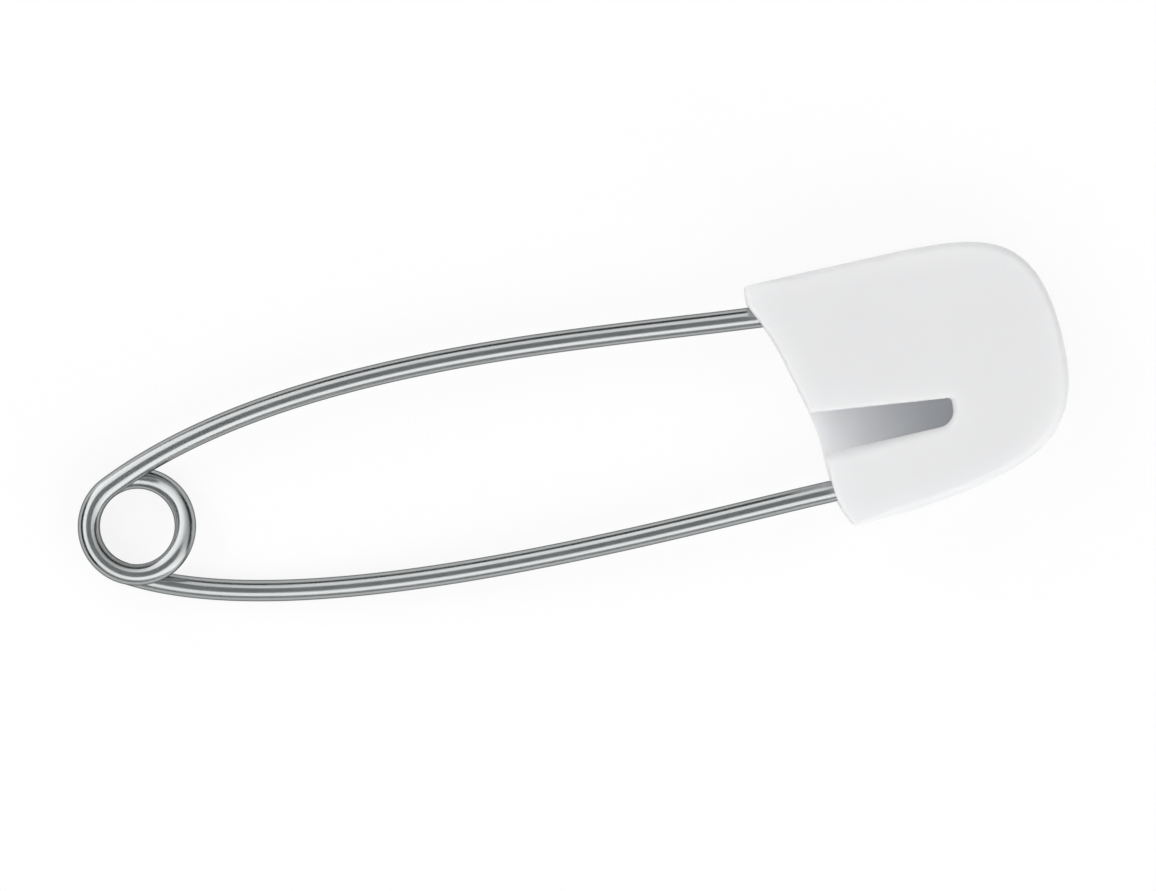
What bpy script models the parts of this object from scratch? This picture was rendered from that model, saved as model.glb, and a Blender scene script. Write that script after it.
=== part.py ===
"""Safety pin with a moulded guard: one spring wire and the plastic head that locks its point.

The pin lies on its back in metres, +Z up. +X runs from the coil to the head, +Y to the fixed arm,
and the origin is under the middle of the pin. The slot that lets the point out faces up.
"""
import math

import bmesh
import bpy
from mathutils import Vector

# Whole pin
PIN_LENGTH = 0.0561

# Wire
WIRE_DIAMETER = 0.0012
POINT_DIAMETER = 0.00024
POINT_TAPER = 0.0050

# Coil: the two layers lie a little apart, and the wire steps down between them on the head's side
COIL_RADIUS = 0.0027
COIL_Y = 0.00013
LAYER_GAP = 0.00046
LOOP_POINTS = 24
STEP_START_DEG = 300
STEP_END_DEG = 430

# Arms in plan: the angle at which each leaves the ring, its bow, and how far inside its side of
# the head it goes in
FIXED_LEAVE_DEG = 116
FIXED_RING_HANDLE = 0.0127
FIXED_HEAD_HANDLE = 0.0092
FIXED_FROM_SIDE = 0.00219
PIN_LEAVE_DEG = 120
PIN_RING_HANDLE = 0.0102
PIN_HEAD_HANDLE = 0.0090
PIN_FROM_SIDE = 0.00212
ARM_SLOPE = 0.04
ARM_HEIGHT = 0.0023
SPLIT_FROM_COIL = 0.0030
ARM_POINTS = 36
ARM_POINT_CROWDING = 1.5

# Point: it stops short of the slot's closed end, so that it can come out
POINT_BEFORE_SLOT_END = 0.0026

# Anchor: the fixed arm's hooked end, moulded into the head
ANCHOR_REACH = 0.0080
ANCHOR_HOOK = 0.0026
ANCHOR_BEND = 0.0012
BEND_POINTS = 6

# Head
HEAD_LENGTH = 0.0170
HEAD_SHORT_LENGTH = 0.01345
HEAD_WIDTH = 0.0146
HEAD_THICKNESS = 0.0062
LONG_SIDE_TAPER = 0.0003
LONG_SIDE_RUN = 0.0090
LONG_CORNER_SHARE = 0.79
SHORT_SIDE_RUN = 0.00075
SHORT_SIDE_SLOPE = 0.08
SHORT_CORNER_SHARE = 0.73
CORNER_POINTS = 10
EDGE_ROUND = 0.0006
EDGE_SEGMENTS = 3
EDGE_ANGLE_DEG = 60
# The mouth edge, from the long side to the short one: the share of the step between the two side
# lengths, and the share of half the width
MOUTH_EDGE_SHARES = (
    (0.0, 0.81),
    (0.21, 0.58),
    (0.36, 0.44),
    (0.62, 0.0),
    (0.75, -0.26),
    (0.78, -0.58),
    (0.85, -0.86),
)

# Pocket and slot, measured from the pin's axis and from the head's far end
FACE_WALL = 0.0010
BACK_WALL = 0.00125
SIDE_WALL = 0.00095
POCKET_PAST_SLOT = 0.00035
POCKET_INNER = 0.0003
POCKET_SLOPE = 0.13
SLOT_END = 0.00685
SLOT_INNER_MOUTH = 0.0007
SLOT_INNER_END = 0.00122
SLOT_OUTER_MOUTH = 0.0030
SLOT_OUTER_END = 0.00275
SLOT_CORNER = 0.0005
SLOT_CORNER_POINTS = 4

# Fits and fineness
CLEARANCE = 0.0003
OVERSHOOT = 0.0040
ARM_SIDES = 12
COIL_SIDES = 6
SMOOTH_ANGLE_DEG = 40

# Surfaces: colour, metallic, roughness
PLASTIC = ((0.79, 0.79, 0.79), 0.0, 0.45)
STEEL = ((0.55, 0.56, 0.56), 1.0, 0.25)

WIRE_RADIUS = WIRE_DIAMETER / 2
HALF_WIDTH = HEAD_WIDTH / 2
FAR_X = PIN_LENGTH / 2
COIL_X = COIL_RADIUS + WIRE_RADIUS - PIN_LENGTH / 2
LOW_LAYER = WIRE_RADIUS
HIGH_LAYER = LOW_LAYER + WIRE_DIAMETER + LAYER_GAP
SPLIT_X = COIL_X + SPLIT_FROM_COIL
LONG_MOUTH_X = FAR_X - HEAD_LENGTH
SHORT_MOUTH_X = FAR_X - HEAD_SHORT_LENGTH
MOUTH_MIDDLE_X = (LONG_MOUTH_X + SHORT_MOUTH_X) / 2
SLOT_END_X = FAR_X - SLOT_END
POINT_X = SLOT_END_X - POINT_BEFORE_SLOT_END
OUTSIDE_X = LONG_MOUTH_X - OVERSHOOT
FULL_TURN = math.tau


def clear_scene():
    """Start from an empty scene."""
    for thing in list(bpy.data.objects):
        bpy.data.objects.remove(thing, do_unlink=True)


def make_material(name, color, metallic, roughness):
    """A plain surface in the photographed colour."""
    material = bpy.data.materials.new(name)
    material.use_nodes = True
    surface = material.node_tree.nodes["Principled BSDF"]
    surface.inputs["Base Color"].default_value = (*color, 1)
    surface.inputs["Metallic"].default_value = metallic
    surface.inputs["Roughness"].default_value = roughness
    material.diffuse_color = (*color, 1)
    return material


def make_empty(name, place):
    """A guide on a joint's axis, which carries the piece that turns there."""
    empty = bpy.data.objects.new(name, None)
    empty.location = place
    bpy.context.collection.objects.link(empty)
    return empty


def as_mesh(bar):
    """The same bar as a mesh, so that it can cut."""
    mesh = bpy.data.meshes.new_from_object(bar.evaluated_get(bpy.context.evaluated_depsgraph_get()))
    name = bar.name
    bpy.data.objects.remove(bar, do_unlink=True)
    solid = bpy.data.objects.new(name, mesh)
    bpy.context.collection.objects.link(solid)
    return solid


def carry(piece, empty):
    """Parent a piece to a guide without moving it."""
    piece.parent = empty
    piece.matrix_parent_inverse.translation = -empty.location


def smoothstep(value):
    """Ease from 0 to 1, level at both ends."""
    value = min(max(value, 0), 1)
    return value * value * (3 - 2 * value)


def bezier(start, start_handle, end_handle, end, share):
    """A point on a cubic curve."""
    rest = 1 - share
    return (
        start * rest**3
        + start_handle * (3 * rest * rest * share)
        + end_handle * (3 * rest * share * share)
        + end * share**3
    )


def arm_curve(side, leave_deg, ring_handle, head_handle, from_side):
    """An arm in plan, and its direction in the mouth. It leaves the ring along its tangent."""
    leave = math.radians(leave_deg)
    on_ring = Vector((math.cos(leave), side * math.sin(leave))) * COIL_RADIUS
    tangent = Vector((math.sin(leave), -side * math.cos(leave)))
    start = on_ring + Vector((COIL_X, COIL_Y))
    end = Vector((MOUTH_MIDDLE_X, side * (HALF_WIDTH - from_side)))
    inward = Vector((1, -side * ARM_SLOPE)).normalized()
    points = []
    for step in range(ARM_POINTS + 1):
        # the steps are finer next to the ring, where the arm bends most
        share = (step / ARM_POINTS) ** ARM_POINT_CROWDING
        points.append(
            bezier(start, start + tangent * ring_handle, end - inward * head_handle, end, share)
        )
    return points, inward


def arm_height(x, coil_height):
    """An arm's height: level beside the coil, then an easy slope to its height in the head."""
    share = (x - SPLIT_X) / (MOUTH_MIDDLE_X - SPLIT_X)
    return coil_height + (ARM_HEIGHT - coil_height) * smoothstep(share)


def fixed_route():
    """The fixed arm's centre line, from the ring's upper layer to the hook inside the head."""
    plan, inward = arm_curve(
        1, FIXED_LEAVE_DEG, FIXED_RING_HANDLE, FIXED_HEAD_HANDLE, FIXED_FROM_SIDE
    )
    points = [Vector((p.x, p.y, arm_height(p.x, HIGH_LAYER))) for p in plan]
    corner = points[-1].xy + inward * (ANCHOR_REACH - ANCHOR_BEND)
    across = Vector((inward.y, -inward.x))
    centre = corner + across * ANCHOR_BEND
    for step in range(BEND_POINTS + 1):
        turn = FULL_TURN / 4 * step / BEND_POINTS
        spot = centre - across * ANCHOR_BEND * math.cos(turn) + inward * ANCHOR_BEND * math.sin(turn)
        points.append(Vector((spot.x, spot.y, ARM_HEIGHT)))
    tail = points[-1].xy + across * (ANCHOR_HOOK - ANCHOR_BEND)
    points.append(Vector((tail.x, tail.y, ARM_HEIGHT)))
    return points


def pin_route():
    """The pin arm's centre line, from the ring's lower layer to the point."""
    plan, inward = arm_curve(
        -1, PIN_LEAVE_DEG, PIN_RING_HANDLE, PIN_HEAD_HANDLE, PIN_FROM_SIDE
    )
    points = [Vector((p.x, p.y, arm_height(p.x, LOW_LAYER))) for p in plan]
    reach = (POINT_X - MOUTH_MIDDLE_X) / inward.x
    points.append(points[-1] + Vector((inward.x, inward.y, 0)) * reach)
    return points


def coil_height(angle_deg):
    """The ring's height round its turns: upper layer, a step down, lower layer."""
    share = (angle_deg - STEP_START_DEG) / (STEP_END_DEG - STEP_START_DEG)
    return HIGH_LAYER + (LOW_LAYER - HIGH_LAYER) * smoothstep(share)


def ring_route():
    """The ring itself, counter-clockwise from the fixed arm down to the pin arm."""
    turn_deg = math.degrees(FULL_TURN)
    first = FIXED_LEAVE_DEG
    last = 2 * turn_deg - PIN_LEAVE_DEG
    steps = round((last - first) / turn_deg * LOOP_POINTS)
    points = []
    for step in range(steps + 1):
        angle = first + (last - first) * step / steps
        turn = math.radians(angle)
        points.append(
            Vector((
                COIL_X + COIL_RADIUS * math.cos(turn),
                COIL_Y + COIL_RADIUS * math.sin(turn),
                coil_height(angle),
            ))
        )
    return points


def cut_route(points, x, keep_far):
    """The part of a route on one side of a place along X, ended square on the route."""
    for index in range(len(points) - 1):
        a, b = points[index], points[index + 1]
        if a.x < x <= b.x:
            spot = a.lerp(b, (x - a.x) / (b.x - a.x))
            return [spot, *points[index + 1:]] if keep_far else [*points[:index + 1], spot]
    return points


def sharpen(points):
    """Put a point where the taper starts, and give the share of the wire's width at each."""
    left = POINT_TAPER
    for index in range(len(points) - 1, 0, -1):
        run = (points[index] - points[index - 1]).length
        if run > left:
            start = points[index].lerp(points[index - 1], left / run)
            points = [*points[:index], start, *points[index:]]
            break
        left -= run
    to_tip = 0.0
    shares = [POINT_DIAMETER / WIRE_DIAMETER]
    for after, before in zip(points[:0:-1], points[-2::-1]):
        to_tip += (after - before).length
        width = POINT_DIAMETER + (WIRE_DIAMETER - POINT_DIAMETER) * min(to_tip / POINT_TAPER, 1)
        shares.append(width / WIRE_DIAMETER)
    return points, shares[::-1]


def make_wire(name, points, material, sides, radius=WIRE_RADIUS, shares=None):
    """A round bar along a route, with filled ends. shares narrow it from point to point."""
    curve = bpy.data.curves.new(name, "CURVE")
    curve.dimensions = "3D"
    curve.bevel_depth = radius
    curve.bevel_resolution = (sides - 4) // 2
    curve.use_fill_caps = True
    spline = curve.splines.new("POLY")
    spline.points.add(len(points) - 1)
    for spot, point, share in zip(points, spline.points, shares or [1] * len(points)):
        point.co = (*spot, 1)
        point.radius = share
    if material:
        curve.materials.append(material)
    wire = bpy.data.objects.new(name, curve)
    bpy.context.collection.objects.link(wire)
    return wire


def prism(name, outline, low, high, material=None):
    """A closed block with an outline in plan."""
    mesh = bpy.data.meshes.new(name)
    shape = bmesh.new()
    base = [shape.verts.new((x, y, low)) for x, y in outline]
    face = shape.faces.new(base)
    risen = bmesh.ops.extrude_face_region(shape, geom=[face])["geom"]
    top = [item for item in risen if isinstance(item, bmesh.types.BMVert)]
    bmesh.ops.translate(shape, verts=top, vec=(0, 0, high - low))
    bmesh.ops.recalc_face_normals(shape, faces=shape.faces)
    shape.to_mesh(mesh)
    shape.free()
    if material:
        mesh.materials.append(material)
    block = bpy.data.objects.new(name, mesh)
    bpy.context.collection.objects.link(block)
    return block


def cut(body, cutter):
    """Take a hidden cutter's shape out of a body."""
    cutter.hide_render = True
    cutter.display_type = "WIRE"
    boolean = body.modifiers.new(cutter.name, "BOOLEAN")
    boolean.operation = "DIFFERENCE"
    boolean.object = cutter


def round_corner(start, end, slope, handle_share):
    """A full, soft corner from a side of the head, at a slope, to the middle of its far end."""
    run = end - start
    start_handle = start + Vector((run.x, run.x * slope)) * handle_share
    end_handle = end - Vector((0, run.y)) * handle_share
    return [
        bezier(start, start_handle, end_handle, end, step / CORNER_POINTS)
        for step in range(CORNER_POINTS + 1)
    ]


def head_outline():
    """The head seen from the front, clockwise from the mouth's long side."""
    far = Vector((FAR_X, 0))
    long_mouth = Vector((LONG_MOUTH_X, HALF_WIDTH - LONG_SIDE_TAPER))
    long_start = Vector((LONG_MOUTH_X + LONG_SIDE_RUN, HALF_WIDTH))
    short_mouth = Vector((SHORT_MOUTH_X, -HALF_WIDTH))
    short_start = short_mouth + Vector((SHORT_SIDE_RUN, SHORT_SIDE_RUN * SHORT_SIDE_SLOPE))
    upper = round_corner(long_start, far, 0, LONG_CORNER_SHARE)
    lower = round_corner(short_start, far, SHORT_SIDE_SLOPE, SHORT_CORNER_SHARE)
    edge = [
        Vector((LONG_MOUTH_X + (SHORT_MOUTH_X - LONG_MOUTH_X) * share, HALF_WIDTH * across))
        for share, across in MOUTH_EDGE_SHARES
    ]
    return [long_mouth, *upper, *reversed(lower[:-1]), short_mouth, *reversed(edge)]


def slot_outline():
    """The slot in plan: wider at the mouth, with a rounded closed end, and run out past the mouth."""
    grow = (OUTSIDE_X - SHORT_MOUTH_X) / (SLOT_END_X - SHORT_MOUTH_X)
    inner_out = SLOT_INNER_MOUTH + (SLOT_INNER_END - SLOT_INNER_MOUTH) * grow
    outer_out = SLOT_OUTER_MOUTH + (SLOT_OUTER_END - SLOT_OUTER_MOUTH) * grow
    points = [Vector((OUTSIDE_X, -inner_out)), Vector((OUTSIDE_X, -outer_out))]
    corner_x = SLOT_END_X - SLOT_CORNER
    outer_corner = Vector((corner_x, SLOT_CORNER - SLOT_OUTER_END))
    inner_corner = Vector((corner_x, -SLOT_CORNER - SLOT_INNER_END))
    for centre, first in ((outer_corner, -FULL_TURN / 4), (inner_corner, 0)):
        for step in range(SLOT_CORNER_POINTS + 1):
            turn = first + FULL_TURN / 4 * step / SLOT_CORNER_POINTS
            points.append(centre + Vector((math.cos(turn), math.sin(turn))) * SLOT_CORNER)
    return points


def pocket_outline():
    """The hollow behind the face in plan, from past the mouth to just beyond the slot's end."""
    end_x = SLOT_END_X + POCKET_PAST_SLOT
    mouth_y = SIDE_WALL - HALF_WIDTH
    return [
        Vector((OUTSIDE_X, -POCKET_INNER)),
        Vector((OUTSIDE_X, mouth_y)),
        Vector((SHORT_MOUTH_X, mouth_y)),
        Vector((end_x, mouth_y + (end_x - SHORT_MOUTH_X) * POCKET_SLOPE)),
        Vector((end_x, -POCKET_INNER)),
    ]


def make_head(plastic, fixed_points):
    """The moulded head: a rounded block with the pocket, the slot, and the fixed arm's socket."""
    head = prism("head", head_outline(), 0, HEAD_THICKNESS, plastic)
    bevel = head.modifiers.new("soft_edges", "BEVEL")
    bevel.width = EDGE_ROUND
    bevel.segments = EDGE_SEGMENTS
    bevel.limit_method = "ANGLE"
    bevel.angle_limit = math.radians(EDGE_ANGLE_DEG)
    pocket = prism("pocket_cutter", pocket_outline(), BACK_WALL, HEAD_THICKNESS - FACE_WALL)
    cut(head, pocket)
    slot_low = HEAD_THICKNESS - FACE_WALL - CLEARANCE
    cut(head, prism("slot_cutter", slot_outline(), slot_low, HEAD_THICKNESS + OVERSHOOT))
    from_outside = cut_route(fixed_points, OUTSIDE_X, keep_far=True)
    last = from_outside[-1] + (from_outside[-1] - from_outside[-2]).normalized() * CLEARANCE
    socket = make_wire(
        "socket_cutter", [*from_outside[:-1], last], None, ARM_SIDES, radius=WIRE_RADIUS + CLEARANCE
    )
    cut(head, as_mesh(socket))
    head.data.shade_smooth()
    head.data.set_sharp_from_angle(angle=math.radians(SMOOTH_ANGLE_DEG))
    return head


def least_gap(points):
    """The least distance between the surfaces of strands that aren't neighbours along the wire."""
    lengths = [0.0]
    for before, after in zip(points, points[1:]):
        lengths.append(lengths[-1] + (after - before).length)
    apart = COIL_RADIUS * FULL_TURN / 2
    return min(
        (points[i] - points[j]).length - WIRE_DIAMETER
        for i in range(len(points))
        for j in range(i)
        if lengths[i] - lengths[j] > apart
    )


def build():
    """All the pieces, and the guides that stand on the joints' axes."""
    clear_scene()
    plastic = make_material("white_plastic", *PLASTIC)
    steel = make_material("steel_wire", *STEEL)
    fixed_points = fixed_route()
    pin_points = pin_route()
    make_head(plastic, fixed_points)

    coil_end_x = SPLIT_X - CLEARANCE / 2
    arm_start_x = SPLIT_X + CLEARANCE / 2
    make_wire("fixed_arm", cut_route(fixed_points, arm_start_x, keep_far=True), steel, ARM_SIDES)

    before = list(reversed(cut_route(fixed_points, coil_end_x, keep_far=False)))
    after = cut_route(pin_points, coil_end_x, keep_far=False)
    coil_points = [*before, *ring_route()[1:-1], *after]
    print("least gap of the coil to itself, m:", round(least_gap(coil_points), 6))
    coil = make_wire("spring_coil", coil_points, steel, COIL_SIDES)

    arm_points, shares = sharpen(cut_route(pin_points, arm_start_x, keep_far=True))
    arm = make_wire("pin_arm", arm_points, steel, ARM_SIDES, shares=shares)

    carry(coil, make_empty("arm_swing_axis", (COIL_X, COIL_Y, LOW_LAYER)))
    carry(arm, make_empty("point_unhook_axis", cut_route(pin_points, SPLIT_X, keep_far=True)[0]))


build()
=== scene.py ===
# %% [markdown]
# # A safety pin with a moulded guard
# The real pin is two pieces. One length of spring wire makes the fixed arm, the coil and the pointed
# pin arm, and a small plastic moulding holds one end and hides the point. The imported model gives
# their places and their joints, and this lesson builds the finished surfaces round it.

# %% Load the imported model
import math

import bmesh
import bpy
import numpy as np
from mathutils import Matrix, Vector


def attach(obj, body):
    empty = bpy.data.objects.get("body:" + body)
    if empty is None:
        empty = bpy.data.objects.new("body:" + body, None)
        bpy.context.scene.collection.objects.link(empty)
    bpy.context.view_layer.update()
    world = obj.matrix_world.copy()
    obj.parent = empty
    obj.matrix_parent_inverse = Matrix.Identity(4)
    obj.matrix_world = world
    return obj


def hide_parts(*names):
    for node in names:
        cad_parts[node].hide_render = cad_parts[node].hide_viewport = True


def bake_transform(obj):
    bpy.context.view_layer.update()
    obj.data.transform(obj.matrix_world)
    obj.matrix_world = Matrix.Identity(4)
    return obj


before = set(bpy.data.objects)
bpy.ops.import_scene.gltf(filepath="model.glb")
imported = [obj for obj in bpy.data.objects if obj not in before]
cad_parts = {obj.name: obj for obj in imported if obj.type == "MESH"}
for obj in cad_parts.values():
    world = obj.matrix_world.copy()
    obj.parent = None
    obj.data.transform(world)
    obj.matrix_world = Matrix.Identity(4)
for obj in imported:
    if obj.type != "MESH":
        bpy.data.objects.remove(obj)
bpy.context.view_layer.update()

MM = 0.001

# %% [markdown]
# ## Helpers
# Colours are written as the hex values a screen shows, and one function turns them to the linear
# light that Blender computes with. Node trees are built in code, so one more function adds a node,
# sets it up and links it. It takes every kind of node, for shaders and for geometry alike.

# %% Colours and nodes
def linear(code):
    """An sRGB hex colour as linear red, green, blue and alpha."""
    parts = [int(code[i:i + 2], 16) / 255 for i in (1, 3, 5)]
    return (*(p / 12.92 if p <= 0.04045 else ((p + 0.055) / 1.055) ** 2.4 for p in parts), 1.0)


def add_node(tree, kind, inputs=None, **settings):
    """A node with its settings. An input takes a value, or a socket to link from."""
    node = tree.nodes.new(kind)
    for key, value in settings.items():
        setattr(node, key, value)
    for key, value in (inputs or {}).items():
        if isinstance(value, bpy.types.NodeSocket):
            tree.links.new(value, node.inputs[key])
        else:
            node.inputs[key].default_value = value
    return node


def new_material(name):
    """An empty node material, its tree and its output."""
    material = bpy.data.materials.new(name)
    material.use_nodes = True
    material.node_tree.nodes.clear()
    return material, material.node_tree, add_node(material.node_tree, "ShaderNodeOutputMaterial")


print("plastic white as linear light:", [round(v, 3) for v in linear("#E6E6E6")[:3]])

# %% [markdown]
# ## Camera
# The pin was photographed from straight above, and nothing in the picture leans outwards, as if it
# were taken through a long lens. So the camera here looks straight down through one. It is turned a
# little, so that the pin rises to the right as the photographed one does, and it is close enough
# for the pin to fill the frame.

# %% The camera above the pin
LENS = 500 * MM
SENSOR = 36 * MM
FRAME_WIDTH = 64.5 * MM
TURN_DEG = 10.7
AIM = Vector((0.3 * MM, 0, 3 * MM))

camera = bpy.data.objects.new("camera_above", bpy.data.cameras.new("camera_above"))
camera.data.lens = LENS / MM
camera.data.sensor_width = SENSOR / MM
camera.location = AIM + Vector((0, 0, LENS * FRAME_WIDTH / SENSOR))
camera.rotation_euler = (0, 0, -math.radians(TURN_DEG))
bpy.context.scene.collection.objects.link(camera)
bpy.context.scene.camera = camera
print("camera height, mm:", round(camera.location.z / MM, 1))

# %% [markdown]
# ## The white floor
# The pin lies on white paper. More light could make a paper white, but it would also bleach the
# guard. So most of the paper's white is an even glow that Light Path gives to the camera, to mirrors
# and to glass alone. The rest is lit paper, which keeps a pale shadow of the pin.

# %% A round sheet for the floor
FLOOR_RADIUS = 2.0
FLOOR_SIDES = 96


def disc(name, radius, height, sides):
    """A flat round sheet that faces up."""
    mesh = bpy.data.meshes.new(name)
    ring = [
        (radius * math.cos(math.tau * i / sides), radius * math.sin(math.tau * i / sides), height)
        for i in range(sides)
    ]
    mesh.from_pydata(ring, [], [tuple(range(sides))])
    sheet = bpy.data.objects.new(name, mesh)
    bpy.context.scene.collection.objects.link(sheet)
    return sheet


floor = disc("floor", FLOOR_RADIUS, 0, FLOOR_SIDES)
print("floor radius, m:", FLOOR_RADIUS)

# %% White paper
FLOOR_WHITE = "#FAFAFA"
SHOWN_WHITE = "#FFFFFF"
SHOWN_WHITE_SHARE = 0.85

paper, tree, output = new_material("white_paper")
light = add_node(tree, "ShaderNodeLightPath")
seen = add_node(tree, "ShaderNodeMath", {
    0: light.outputs["Is Camera Ray"], 1: light.outputs["Is Glossy Ray"],
}, operation="MAXIMUM")
seen = add_node(tree, "ShaderNodeMath", {
    0: seen.outputs[0], 1: light.outputs["Is Transmission Ray"],
}, operation="MAXIMUM")
share = add_node(tree, "ShaderNodeMath", {
    0: seen.outputs[0], 1: SHOWN_WHITE_SHARE,
}, operation="MULTIPLY")
lit = add_node(tree, "ShaderNodeBsdfDiffuse", {"Color": linear(FLOOR_WHITE)})
shown = add_node(tree, "ShaderNodeEmission", {"Color": linear(SHOWN_WHITE), "Strength": 1.0})
mixed = add_node(tree, "ShaderNodeMixShader", {
    0: share.outputs[0], 1: lit.outputs[0], 2: shown.outputs[0],
})
tree.links.new(mixed.outputs[0], output.inputs["Surface"])
floor.data.materials.append(paper)
print("paper's glow:", SHOWN_WHITE_SHARE, "lit share:", round(1 - SHOWN_WHITE_SHARE, 2))

# %% [markdown]
# ## The white tent
# Shiny wire shows whatever stands round it, so a photographer lights it inside a white tent. Here
# the world is the tent. It is a little brighter on the left and at the bottom of the picture, and
# brighter again on two opposite sides, up-left and down-right, where the coil has its highlights.
# Its strength is the one at which the guard's white renders about as it is written.

# %% The white tent
TENT_STRENGTH = 1.5
TENT_LEAN_RIGHT = -0.32
TENT_LEAN_UP = -0.27
TENT_TWO_SIDED = 0.8

world = bpy.data.worlds.new("white_tent")
world.use_nodes = True
tree = world.node_tree
way = add_node(tree, "ShaderNodeTexCoord")
turn = math.radians(TURN_DEG)
right, up = (
    add_node(tree, "ShaderNodeVectorMath", {
        0: way.outputs["Generated"], 1: axis,
    }, operation="DOT_PRODUCT")
    for axis in ((math.cos(turn), -math.sin(turn), 0), (math.sin(turn), math.cos(turn), 0))
)
lean = add_node(tree, "ShaderNodeMath", {
    0: right.outputs["Value"], 1: -TENT_TWO_SIDED, 2: TENT_LEAN_UP,
}, operation="MULTIPLY_ADD")
lean = add_node(tree, "ShaderNodeMath", {
    0: up.outputs["Value"], 1: lean.outputs[0],
}, operation="MULTIPLY")
lean = add_node(tree, "ShaderNodeMath", {
    0: right.outputs["Value"], 1: TENT_LEAN_RIGHT, 2: lean.outputs[0],
}, operation="MULTIPLY_ADD")
level = add_node(tree, "ShaderNodeMath", {
    0: lean.outputs[0], 1: TENT_STRENGTH, 2: TENT_STRENGTH,
}, operation="MULTIPLY_ADD")
tree.links.new(level.outputs[0], tree.nodes["Background"].inputs["Strength"])
tree.nodes["Background"].inputs["Color"].default_value = (1, 1, 1, 1)
bpy.context.scene.world = world
bpy.context.scene.view_settings.view_transform = "Standard"
print("tent strength:", TENT_STRENGTH)

# %% [markdown]
# ## The cards
# Round metal in an all-white tent would look flat, so cards give it its lines. A grey card right
# overhead draws the dark line along the top of the wire. Low fences of card stand round the pin and
# draw the lines on its sides: a black one behind, a black one on the left and a pale one in front.
# Where a gap is left between them the coil stays bright, and a fence tapers towards a gap, so that
# its line fades out. The camera doesn't see the cards, so it looks through the one overhead.

# %% Grey card overhead
TOP_CARD_GREY = "#A4A6A6"
TOP_CARD_HEIGHT = 0.5
TOP_CARD_DEG = 27
CARD_SIDES = 64


def card_material(name, colour):
    """Matt card."""
    material, tree, output = new_material(name)
    surface = add_node(tree, "ShaderNodeBsdfDiffuse", {"Color": linear(colour)})
    tree.links.new(surface.outputs[0], output.inputs["Surface"])
    return material


def put_up(card, finish, colour):
    """A card as part of the studio, in its colour and out of the camera's sight."""
    card.data.materials.append(card_material(finish, colour))
    card.visible_camera = False


top_card_radius = TOP_CARD_HEIGHT * math.tan(math.radians(TOP_CARD_DEG))
put_up(disc("top_card", top_card_radius, TOP_CARD_HEIGHT, CARD_SIDES), "grey_card", TOP_CARD_GREY)
print("top card radius, m:", round(top_card_radius, 3))

# %% Fences on the floor
NEAR_CARD_GREY = "#BCBEBD"
FAR_CARD_BLACK = "#3C3D3D"
FENCE_RADIUS = 0.5
FENCE_DEG = 29
FENCE_TAPER_DEG = 24
FAR_FENCE_DEGS = (-24, 132)
LEFT_FENCE_DEGS = (138, 222)
NEAR_FENCE_DEGS = (222, 308)


def fence(name, first_deg, last_deg, tapers):
    """A part of a low round fence, by its angles in the picture, with an end tapered or not."""
    foot, top = [], []
    height = FENCE_RADIUS * math.tan(math.radians(FENCE_DEG))
    for step in range(CARD_SIDES + 1):
        deg = first_deg + (last_deg - first_deg) * step / CARD_SIDES
        from_ends = [d for d, taper in zip((deg - first_deg, last_deg - deg), tapers) if taper]
        share = min([1, *(d / FENCE_TAPER_DEG for d in from_ends)])
        turn = math.radians(deg - TURN_DEG)
        x, y = FENCE_RADIUS * math.cos(turn), FENCE_RADIUS * math.sin(turn)
        foot.append((x, y, 0))
        top.append((x, y, height * share))
    count = len(foot)
    mesh = bpy.data.meshes.new(name)
    mesh.from_pydata(
        foot + top, [], [(i + 1, i, count + i, count + i + 1) for i in range(count - 1)],
    )
    sheet = bpy.data.objects.new(name, mesh)
    bpy.context.scene.collection.objects.link(sheet)
    return sheet


put_up(fence("far_fence", *FAR_FENCE_DEGS, (True, True)), "black_card", FAR_CARD_BLACK)
put_up(fence("left_fence", *LEFT_FENCE_DEGS, (True, False)), "black_card", FAR_CARD_BLACK)
put_up(fence("near_fence", *NEAR_FENCE_DEGS, (False, True)), "pale_card", NEAR_CARD_GREY)
print("fence height, m:", round(FENCE_RADIUS * math.tan(math.radians(FENCE_DEG)), 3))

# %% [markdown]
# ## The guard's plastic
# The guard is injection moulded in a neutral white polypropylene. The mould's faces were spark
# eroded, which gives a fine even grain and a satin gloss, and the plastic lets a little light in,
# so its inside edges stay soft and bright. The grain is drawn coarser than the real 0.05 mm,
# because the real one would be smaller than a pixel here. Inside the pocket the plastic is painted
# lighter and cooler, a painted light that brightens the recess, and an attribute on the mesh says
# where that is.

# %% White moulded polypropylene
PLASTIC_WHITE = "#E6E6E6"
PLASTIC_SHADE = "#E2E2E3"
# painted light: a lighter, bluer colour that brightens the pocket's walls
PLASTIC_PAINTED_POCKET_LIGHT = "#F8FAFF"
PLASTIC_ROUGH = (0.40, 0.52)
PLASTIC_IOR = 1.49
PLASTIC_DEPTH = 1.4 * MM
PLASTIC_DEPTHS = (0.85, 0.92, 1.0)
PLASTIC_SOFT_SHARE = 0.8
GRAIN_WIDTH = 0.16 * MM
GRAIN_HEIGHT = 0.004 * MM
FLOW_WIDTH = 5 * MM

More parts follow.
